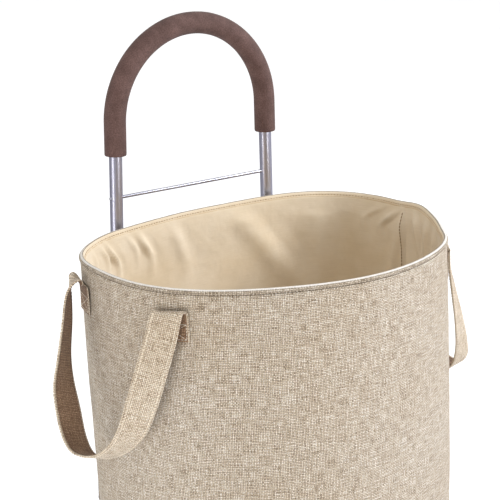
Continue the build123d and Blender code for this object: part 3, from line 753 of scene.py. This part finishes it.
def band(name, centre, across, face, width, thick, material, underside_material, seed, edge_material=None):
    """Doubled tape: a closed section swept along centre, with stitch dips near both edges."""
    section = []
    steps = 17
    for k in range(steps):
        s = -1 + 2 * k / (steps - 1)
        dip = 0.0005 * np.exp(-((abs(s) - 0.80) / 0.07) ** 2)
        edge = 0.0006 * max(0.0, (abs(s) - 0.90) / 0.10) ** 2
        section.append((s * width / 2, thick / 2 - dip - edge))
    under = [(x, -y) for x, y in reversed(section)]
    loop = section + under
    rows = len(centre)
    wobble = smooth_noise((rows, len(loop)), (max(4, rows // 8), 6), seed)
    edge_wobble = smooth_noise((rows, 2), (max(4, rows // 9), 2), seed + 1)[:, 0]
    points, uvs = [], []
    run = travel(centre)
    for k, (x, y) in enumerate(loop):
        sway = 0.0005 * edge_wobble
        points.append(centre + across * (x + sway)[:, None] + face * (y + 0.00035 * wobble[:, k])[:, None])
        uvs.append(np.column_stack([np.full(rows, x + 0.4), run]))
    points, uvs = rows_of(points), rows_of(uvs)
    obj = grid(name, points, uvs, closed_v=True)
    bottom = [k * rows for k in range(len(loop))]
    top = [k * rows + rows - 1 for k in range(len(loop))]
    vertices = [tuple(v.co) for v in obj.data.vertices]
    quads = [tuple(p.vertices) for p in obj.data.polygons]
    layer = obj.data.uv_layers["cloth"]
    flat = [tuple(layer.data[i].uv) for p in obj.data.polygons for i in p.loop_indices]
    half = len(section)
    ends = []
    for line, order in ((bottom, 1), (top, -1)):
        for k in range(half - 1):
            a, b = line[k], line[k + 1]
            c, d = line[2 * half - 2 - k], line[2 * half - 1 - k]
            ends.append((a, b, c, d)[::order])
    mesh = bpy.data.meshes.new(name)
    mesh.from_pydata(vertices, [], quads + ends)
    new = mesh.uv_layers.new(name="cloth")
    flat += [(vertices[v][0], vertices[v][2]) for f in ends for v in f]
    new.data.foreach_set("uv", np.array(flat, np.float32).ravel())
    mesh.polygons.foreach_set("use_smooth", [True] * len(mesh.polygons))
    obj.data = mesh
    # The second material goes on the tape's other face; for the straps and tabs one of the two linens is the
    # darker copy, painted shade.
    paint(obj, material, underside_material, edge_material or material)
    under_faces = []
    for j in range(len(loop)):
        is_edge = j in (0, half - 2, half - 1, half, 2 * half - 2, 2 * half - 1)
        side_of = 2 if is_edge else int(j >= half)
        under_faces += [side_of] * (rows - 1)
    under_faces += [2] * len(ends)
    mesh.polygons.foreach_set("material_index", under_faces)
    return obj, run[-1]


# Sections of a strap: along the line between its folds, outwards from the wall and down, in
# millimetres from the front fold, then the heading of the band's width, in degrees from that
# line towards the outside, and its tilt upwards.
STRAP_SECTIONS = {
    "left": [
        (-3, 2, 3, 30, -4),
        (-4, 12, 4, 31, -4),
        (-4, 21, 28, 34, 0),
        (-1, 32, 62, 40, 0),
        (4, 42, 98, 50, 0),
        (13, 49, 130, 62, 4),
        (28, 55, 153, 74, 10),
        (51, 60, 168, 84, 18),
        (78, 61, 172, 86, 22),
        (99, 56, 160, 86, 18),
        (115, 50, 133, 88, 10),
        (126, 45, 107, 100, 2),
        (132, 38, 78, 114, 0),
        (137, 28, 42, 120, 0),
        (141, 20, 10, 128, 0),
        (142, 10, -3, 138, 0),
        (143, 2, -2, 142, 0),
    ],
    "right": [
        (6, 1, 11, 30, -4),
        (5, 4, 12, 31, -4),
        (4, 6, 36, 33, 0),
        (4, 14, 70, 40, 0),
        (6, 24, 106, 48, 0),
        (12, 34, 142, 56, 0),
        (24, 41, 170, 66, 4),
        (46, 45, 188, 78, 10),
        (76, 46, 192, 86, 16),
        (100, 43, 178, 88, 16),
        (117, 39, 150, 92, 8),
        (128, 34, 120, 100, 2),
        (134, 28, 88, 112, 0),
        (139, 21, 50, 120, 0),
        (142, 13, 18, 128, 0),
        (143, 7, 6, 138, 0),
        (144, 1, 7, 142, 0),
    ],
}
# How far each side's tabs sit below the left ones, and how far back the front one is.
SIT_LOWER = {"left": 0.0, "right": 0.008}
STRAP_ROWS = 140
# Where the straps' folds are, from the middle of the cart and from the handle's plane.
FRONT_FOLD = (0.207, -0.246)
BACK_FOLD = (0.233, -0.105)


def carry_strap(side, name):
    front = np.array([side * FRONT_FOLD[0], HANDLE_Y + FRONT_FOLD[1], FOLD_Z])
    back = np.array([side * BACK_FOLD[0], HANDLE_Y + BACK_FOLD[1], FOLD_Z])
    up = np.array([0, 0, 1.0])
    along = unit(back - front)
    out = unit(np.array([side * along[1], -side * along[0], 0]))
    s = spline(STRAP_SECTIONS[name], STRAP_ROWS)
    place, heading, tilt = s[:, :3] / 1000, np.radians(s[:, 3:4]), np.radians(s[:, 4:5])
    centre = front + along * place[:, :1] + out * place[:, 1:2] - up * place[:, 2:3]
    run = unit(np.gradient(centre, axis=0))
    aim = (along * np.cos(heading) + out * np.sin(heading)) * np.cos(tilt) + up * np.sin(tilt)
    from_end = np.minimum(np.arange(STRAP_ROWS), np.arange(STRAP_ROWS)[::-1])
    square = np.minimum(1, 0.3 + from_end / 20)[:, None]
    across = unit(aim - square * run * np.sum(aim * run, axis=1, keepdims=True))
    face = unit(np.cross(across, run)) * -side
    # The strap's underside faces get the darker linen copy, painted shade.
    strap, length = band("carry_strap_cloth_" + name, centre, across, face, STRAP_WIDTH, STRAP_T,
                         "strap_linen", "strap_painted_shade", 31 + side)
    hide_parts("carry_strap_" + name)
    rows = []
    for edge in (-1, 1):
        for surface in (-1, 1):
            path = centre + across * (edge * STRAP_WIDTH * STITCH_ROW)
            path = path + face * (surface * (STRAP_T / 2 - 0.0002))
            label = ("a" if edge < 0 else "b") + ("i" if surface < 0 else "o")
            # Underside stitches use the brown thread, painted shade to match the strap's shaded underside.
            rows.append(stitches("strap_stitching_" + name + "_" + label, path, face * surface,
                                 0.0040, 0.0029, 0.0007, 0.0002,
                                 "brown_thread" if surface < 0 else "thread", None))
    # Bake each piece's placement into its mesh; the strap and its stitching hang on no body.
    for piece in [strap] + rows:
        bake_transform(piece)


def strap_tab(side, name, end, x, depth):
    """Doubled tape stitched to the wall, rising to just under the strap's fold and standing a little off the
    wall at its top.
    """
    top = FOLD_Z - SIT_LOWER[name]
    low, low_out, low_back = wall_point(side, x, depth, top - 0.037)
    high, high_out, high_back = wall_point(side, x, depth, top - 0.004)
    t = np.linspace(0, 1, 26)[:, None]
    lift = 0.0016 + 0.0012 * t**3
    centre = low * (1 - t) + high * t + high_out * lift
    run = unit(np.gradient(centre, axis=0))
    across = unit(np.broadcast_to(high_back, centre.shape)
                  - run * np.sum(high_back * run, axis=1, keepdims=True))
    face = unit(np.cross(run, across))
    if np.sum(face * high_out) < 0:
        face = -face
    label = name + "_" + end
    # The tab's outer face gets the darker linen copy, painted shade under the strap; its edges keep the plain
    # linen.
    tab, length = band("strap_tab_cloth_" + label, centre, across, face, STRAP_WIDTH * 0.98, TAPE_T,
                       "strap_painted_shade", "strap_linen", 51 + side, "strap_linen")
    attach(tab, "bag")
    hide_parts("strap_tab_" + label)
    box = []
    w, d = STRAP_WIDTH * STITCH_ROW, 0.0008
    corners = [(-w, 2), (w, 2), (w, 15), (-w, 15), (-w, 2), (w, 15), (-w, 15), (w, 2)]
    for (a, i), (b, j) in zip(corners, corners[1:]):
        for k in np.linspace(0, 1, 12):
            spot = i + (j - i) * k
            at = int(spot)
            base = centre[at] + (centre[at + 1] - centre[at]) * (spot - at)
            box.append(base + across[at] * (a + (b - a) * k) + face[at] * d)
    box = np.array(box)
    normal = np.broadcast_to(high_out, box.shape)
    seam = stitches("tab_stitching_" + label, box, normal, 0.0036, 0.0027, 0.0007, 0.0002,
                    "thread", "bag")


LOOP_TOP_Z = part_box("leg_loop_left")[1].z
# A leg loop's way round, across the cart and back from the handle's plane.
LOOP_ROUTE = [
    (0.1745, -0.0640), (0.171, -0.050), (0.160, -0.020), (0.151, 0.004), (0.143, 0.0105),
    (0.125, 0.0112), (0.107, 0.0105), (0.099, 0.004), (0.095, -0.018), (0.0885, -0.0390),
]


def leg_loop(side, name):
    """Hook-and-loop tape from the back wall, round behind the leg and back to the wall."""
    p = spline([(side * x, HANDLE_Y + y) for x, y in LOOP_ROUTE], 90)
    height = 0.0385
    middle = LOOP_TOP_Z - 0.020
    centre = np.column_stack([p, np.full(len(p), middle)])
    centre[:, 2] += 0.0008 * np.sin(np.linspace(0, 5, len(p)))
    run = unit(np.gradient(centre, axis=0))
    across = np.broadcast_to(np.array([0, 0, 1.0]), centre.shape)
    face = unit(np.cross(run, across))
    if face[len(face) // 2][1] < 0:
        face = -face
    loop, length = band("leg_loop_tape_" + name, centre, across, face, height, TAPE_T,
                        "brown_tape", "brown_tape", 71 + side)
    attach(loop, "bag")
    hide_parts("leg_loop_" + name)
    for edge in (-1, 1):
        path = centre + across * (edge * height * STITCH_ROW) + face * 0.0008
        stitches("loop_stitching_" + name + ("_a" if edge < 0 else "_b"), path, face,
                             0.0038, 0.0028, 0.0007, 0.0002, "brown_thread", "bag")


for side, name in ((-1, "left"), (1, "right")):
    carry_strap(side, name)
    strap_tab(side, name, "front", 0.205, -0.249 + SIT_LOWER[name])
    strap_tab(side, name, "back", *BACK_FOLD)
    leg_loop(side, name)

# Height that the floor's cloth adds to the wall's on the flat pattern.
height = RIM_Z - FLOOR_Z


# ---------------------------------------------------------------------------
# Foam grip: a moulded foam tube on the arch with softly pinched ends
# ---------------------------------------------------------------------------
def handle_place(x, up):
    """A point in the leaning plane of the handle, x across and up from the cross rod."""
    return np.column_stack([x, HANDLE_Y + up * sin(LEAN), ROD.z + up * cos(LEAN)])


arch_half = HANDLE_HALF - ARCH_START * tan(SPLAY)
arch_r = arch_half / cos(SPLAY)
arch_base = ARCH_START + arch_r * sin(SPLAY)
low_x = HANDLE_HALF - GRIP_START * tan(SPLAY)
straight = 14
leg = np.linspace(0, 1, straight, endpoint=False)
arc = np.linspace(pi, 0.0, 180)
down = leg + 1 / straight
x = np.concatenate([-low_x + (low_x - arch_half) * leg, arch_half * np.cos(arc),
                    arch_half + (low_x - arch_half) * down])
up = np.concatenate([GRIP_START + (arch_base - GRIP_START) * leg,
                     arch_base + (ARCH_START + arch_r - arch_base) * np.sin(arc),
                     arch_base - (arch_base - GRIP_START) * down])
grip = handle_place(x, up)
run = unit(np.gradient(grip, axis=0))
plane_normal = np.array([0, cos(LEAN), -sin(LEAN)])
outwards = np.cross(run, plane_normal)
length = travel(grip)
section = 40
lumps = smooth_noise((len(grip), section), (30, 8), 91)
points, uvs = [], []
inner_r = TUBE_R + 0.00012


def grip_ring(k, radius, shift=0.0):
    a = 2 * pi * np.arange(section) / section
    r = radius + (0.00012 * lumps[k] if radius > 0.0125 else 0)
    ring = grip[k] + run[k] * shift
    p = ring + outwards[k] * (r * np.cos(a))[:, None] + plane_normal * (r * np.sin(a))[:, None]
    return p, np.column_stack([a * FOAM_R, np.full(section, length[k] + shift)])


# Each ring of the foam: its place on the path, radius and shift along the path.
profile = [(0, inner_r, 0.0008), (0, inner_r + 0.0012, 0.0001), (0, FOAM_R - 0.0016, 0.0),
           (0, FOAM_R - 0.0006, 0.0003), (0, FOAM_R - 0.0001, 0.0011)]
profile += [(k, FOAM_R, 0.0) for k in range(1, len(grip) - 1)]
last = len(grip) - 1
profile += [(last, FOAM_R - 0.0001, -0.0011), (last, FOAM_R - 0.0006, -0.0003), (last, FOAM_R - 0.0016, 0.0),
            (last, inner_r + 0.0012, -0.0001), (last, inner_r, -0.0008)]
for k, radius, shift in profile:
    p, uv = grip_ring(k, radius, shift)
    points.append(p)
    uvs.append(uv)
for k in range(last - 1, 0, -1):
    p, uv = grip_ring(k, inner_r)
    points.append(p)
    uvs.append(uv)
foam_piece = grid("grip_foam", rows_of(points), rows_of(uvs), closed_u=True, closed_v=True)
paint(foam_piece, "foam")
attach(foam_piece, "frame")
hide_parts("foam_grip")

# ---------------------------------------------------------------------------
# Procedural materials on the CAD nodes that show
# ---------------------------------------------------------------------------
SLOT_RULES = [
    ("handle_tube", "silver_tube"), ("lower_leg", "silver_tube"), ("base_rail", "silver_tube"),
    ("front_stand", "silver_tube"), ("base_wires", "bright_rod"), ("cross_rod", "bright_rod"),
    ("screws", "fastener"), ("nuts", "fastener"), ("wheel_bracket", "brown_plastic"),
    ("axle_caps", "brown_plastic"), ("axle_washers", "washer"), ("axle", "axle_steel"),
    ("front_foot", "foot_rubber"), ("wheel_centre", "wheel_plastic"), ("tyre", "tyre"),
    ("board", "board"),
]
for name, obj in nodes.items():
    if obj.hide_render:
        continue
    for key, material in SLOT_RULES:
        if key in name:
            obj.data.materials.clear()
            obj.data.materials.append(M[material])
            break

# ---------------------------------------------------------------------------
# Floor, light and camera
# ---------------------------------------------------------------------------
floor_material = Nodes("pale_floor")
speckle = floor_material.noise((3, 3, 3), detail=3)
pale = floor_material.ramp(speckle.outputs["Fac"], [(0.3, (250, 250, 250)), (0.7, (253, 253, 253))])
floor_material.finish(Base_Color=pale.outputs["Color"], Roughness=0.9, Emission_Color=(1.0, 1.0, 1.0, 1.0),
                      Emission_Strength=0.2)
grey_card = floor_material.add("BsdfDiffuse", {"Color": rgb((168, 168, 176))})
ray = floor_material.add("LightPath")
# Glossy rays see a grey card in the floor's place.
choice = floor_material.add(
    "MixShader", {0: ray.outputs["Is Glossy Ray"], 1: floor_material.shader, 2: grey_card}
)
output = floor_material.tree.nodes["Material Output"]
floor_material.put(output, "Surface", choice)
mesh = bpy.data.meshes.new("floor")
FLOOR_HALF = 2000
corners = [(x * FLOOR_HALF, y * FLOOR_HALF, 0) for x, y in ((-1, -1), (1, -1), (1, 1), (-1, 1))]
mesh.from_pydata(corners, [], [(0, 1, 2, 3)])
floor = link("floor", mesh)
floor.data.materials.append(floor_material.material)

scene = bpy.context.scene
scene.view_settings.view_transform = "Standard"
world = bpy.data.worlds.new("studio")
scene.world = world
# Brightness of the studio's walls, from behind the object (0) round to the front (1).
PANELS = [(0.0, 0.85), (0.18, 0.6), (0.3, 0.12), (0.48, 0.3), (0.68, 1.0), (0.8, 1.0), (1.0, 0.3)]
TOWARDS_FRONT = (-0.612, -0.791, 0.0)
CEILING = (0.86, 0.86, 0.86, 1.0)
WHITE = (1.0, 1.0, 1.0, 1.0)
sky = Nodes("studio", world)
direction = sky.add("TexCoord").outputs["Generated"]
facing = sky.add("VectorMath", {0: direction, 1: TOWARDS_FRONT}, operation="DOT_PRODUCT")
spread = sky.add("MapRange", {"Value": facing.outputs["Value"], "From Min": -1.0})
panels = sky.ramp(spread, PANELS, lambda grey: (grey, grey, grey, 1.0))
upwards = sky.add("SeparateXYZ", {"Vector": direction}).outputs["Z"]
height_of = sky.add("MapRange", {"Value": upwards, "From Min": 0.25, "From Max": 0.7})
overhead = sky.mix(height_of, panels.outputs["Color"], CEILING)
# The camera sees plain white, so the floor's far edge doesn't show.
plain = sky.mix(sky.add("LightPath").outputs["Is Camera Ray"], overhead, WHITE)
sky.finish(Color=plain, Strength=1.04)


def area_light(name, place, aim, size, watts, colour=(1, 1, 1)):
    data = bpy.data.lights.new(name, "AREA")
    data.shape = "DISK"
    data.size = size
    data.energy = watts
    data.color = colour
    lamp = bpy.data.objects.new(name, data)
    lamp.location = place
    lamp.rotation_euler = (Vector(aim) - Vector(place)).to_track_quat("-Z", "Y").to_euler()
    scene.collection.objects.link(lamp)
    return lamp


# The camera's heading and how far it looks down, in degrees, and its place from the cross rod.
CAMERA_TURN = -37.71
CAMERA_DIP = 16.97
CAMERA_PLACE = (-1.0649, -1.4931, 0.4715)
AIM = (0, 0, 0.5)
STRIP_DISTANCE = 1.6
area_light("key", (2.45, -1.55, 2.1), AIM, 1.2, 86, (0.965, 0.99, 1.05))
fill = area_light("fill", (-2.6, -1.7, 0.5), AIM, 1.0, 32)
fill.visible_glossy = False

# Two upright strip boxes that only gloss the metal.
for name, turn in (("strip_left", 50), ("strip_right", -46)):
    heading = radians(CAMERA_TURN + 180 + turn)
    place = Vector((ROD.x, HANDLE_Y, 0)) + Vector((-sin(heading), cos(heading), 0)) * STRIP_DISTANCE
    strip = area_light(name, (place.x, place.y, 0.35), (0, HANDLE_Y, 0.35), 0.3, 4.5)
    strip.data.shape = "RECTANGLE"
    strip.data.size = 0.3
    strip.data.size_y = 0.9
    strip.visible_camera = False
    strip.visible_diffuse = False

camera_data = bpy.data.cameras.new("camera")
camera_data.lens = 108.0
camera_data.sensor_width = 36.0
camera = bpy.data.objects.new("camera", camera_data)
camera.location = ROD + Vector(CAMERA_PLACE)
camera.rotation_euler = (radians(90 - CAMERA_DIP), 0, radians(CAMERA_TURN))
scene.collection.objects.link(camera)
scene.camera = camera
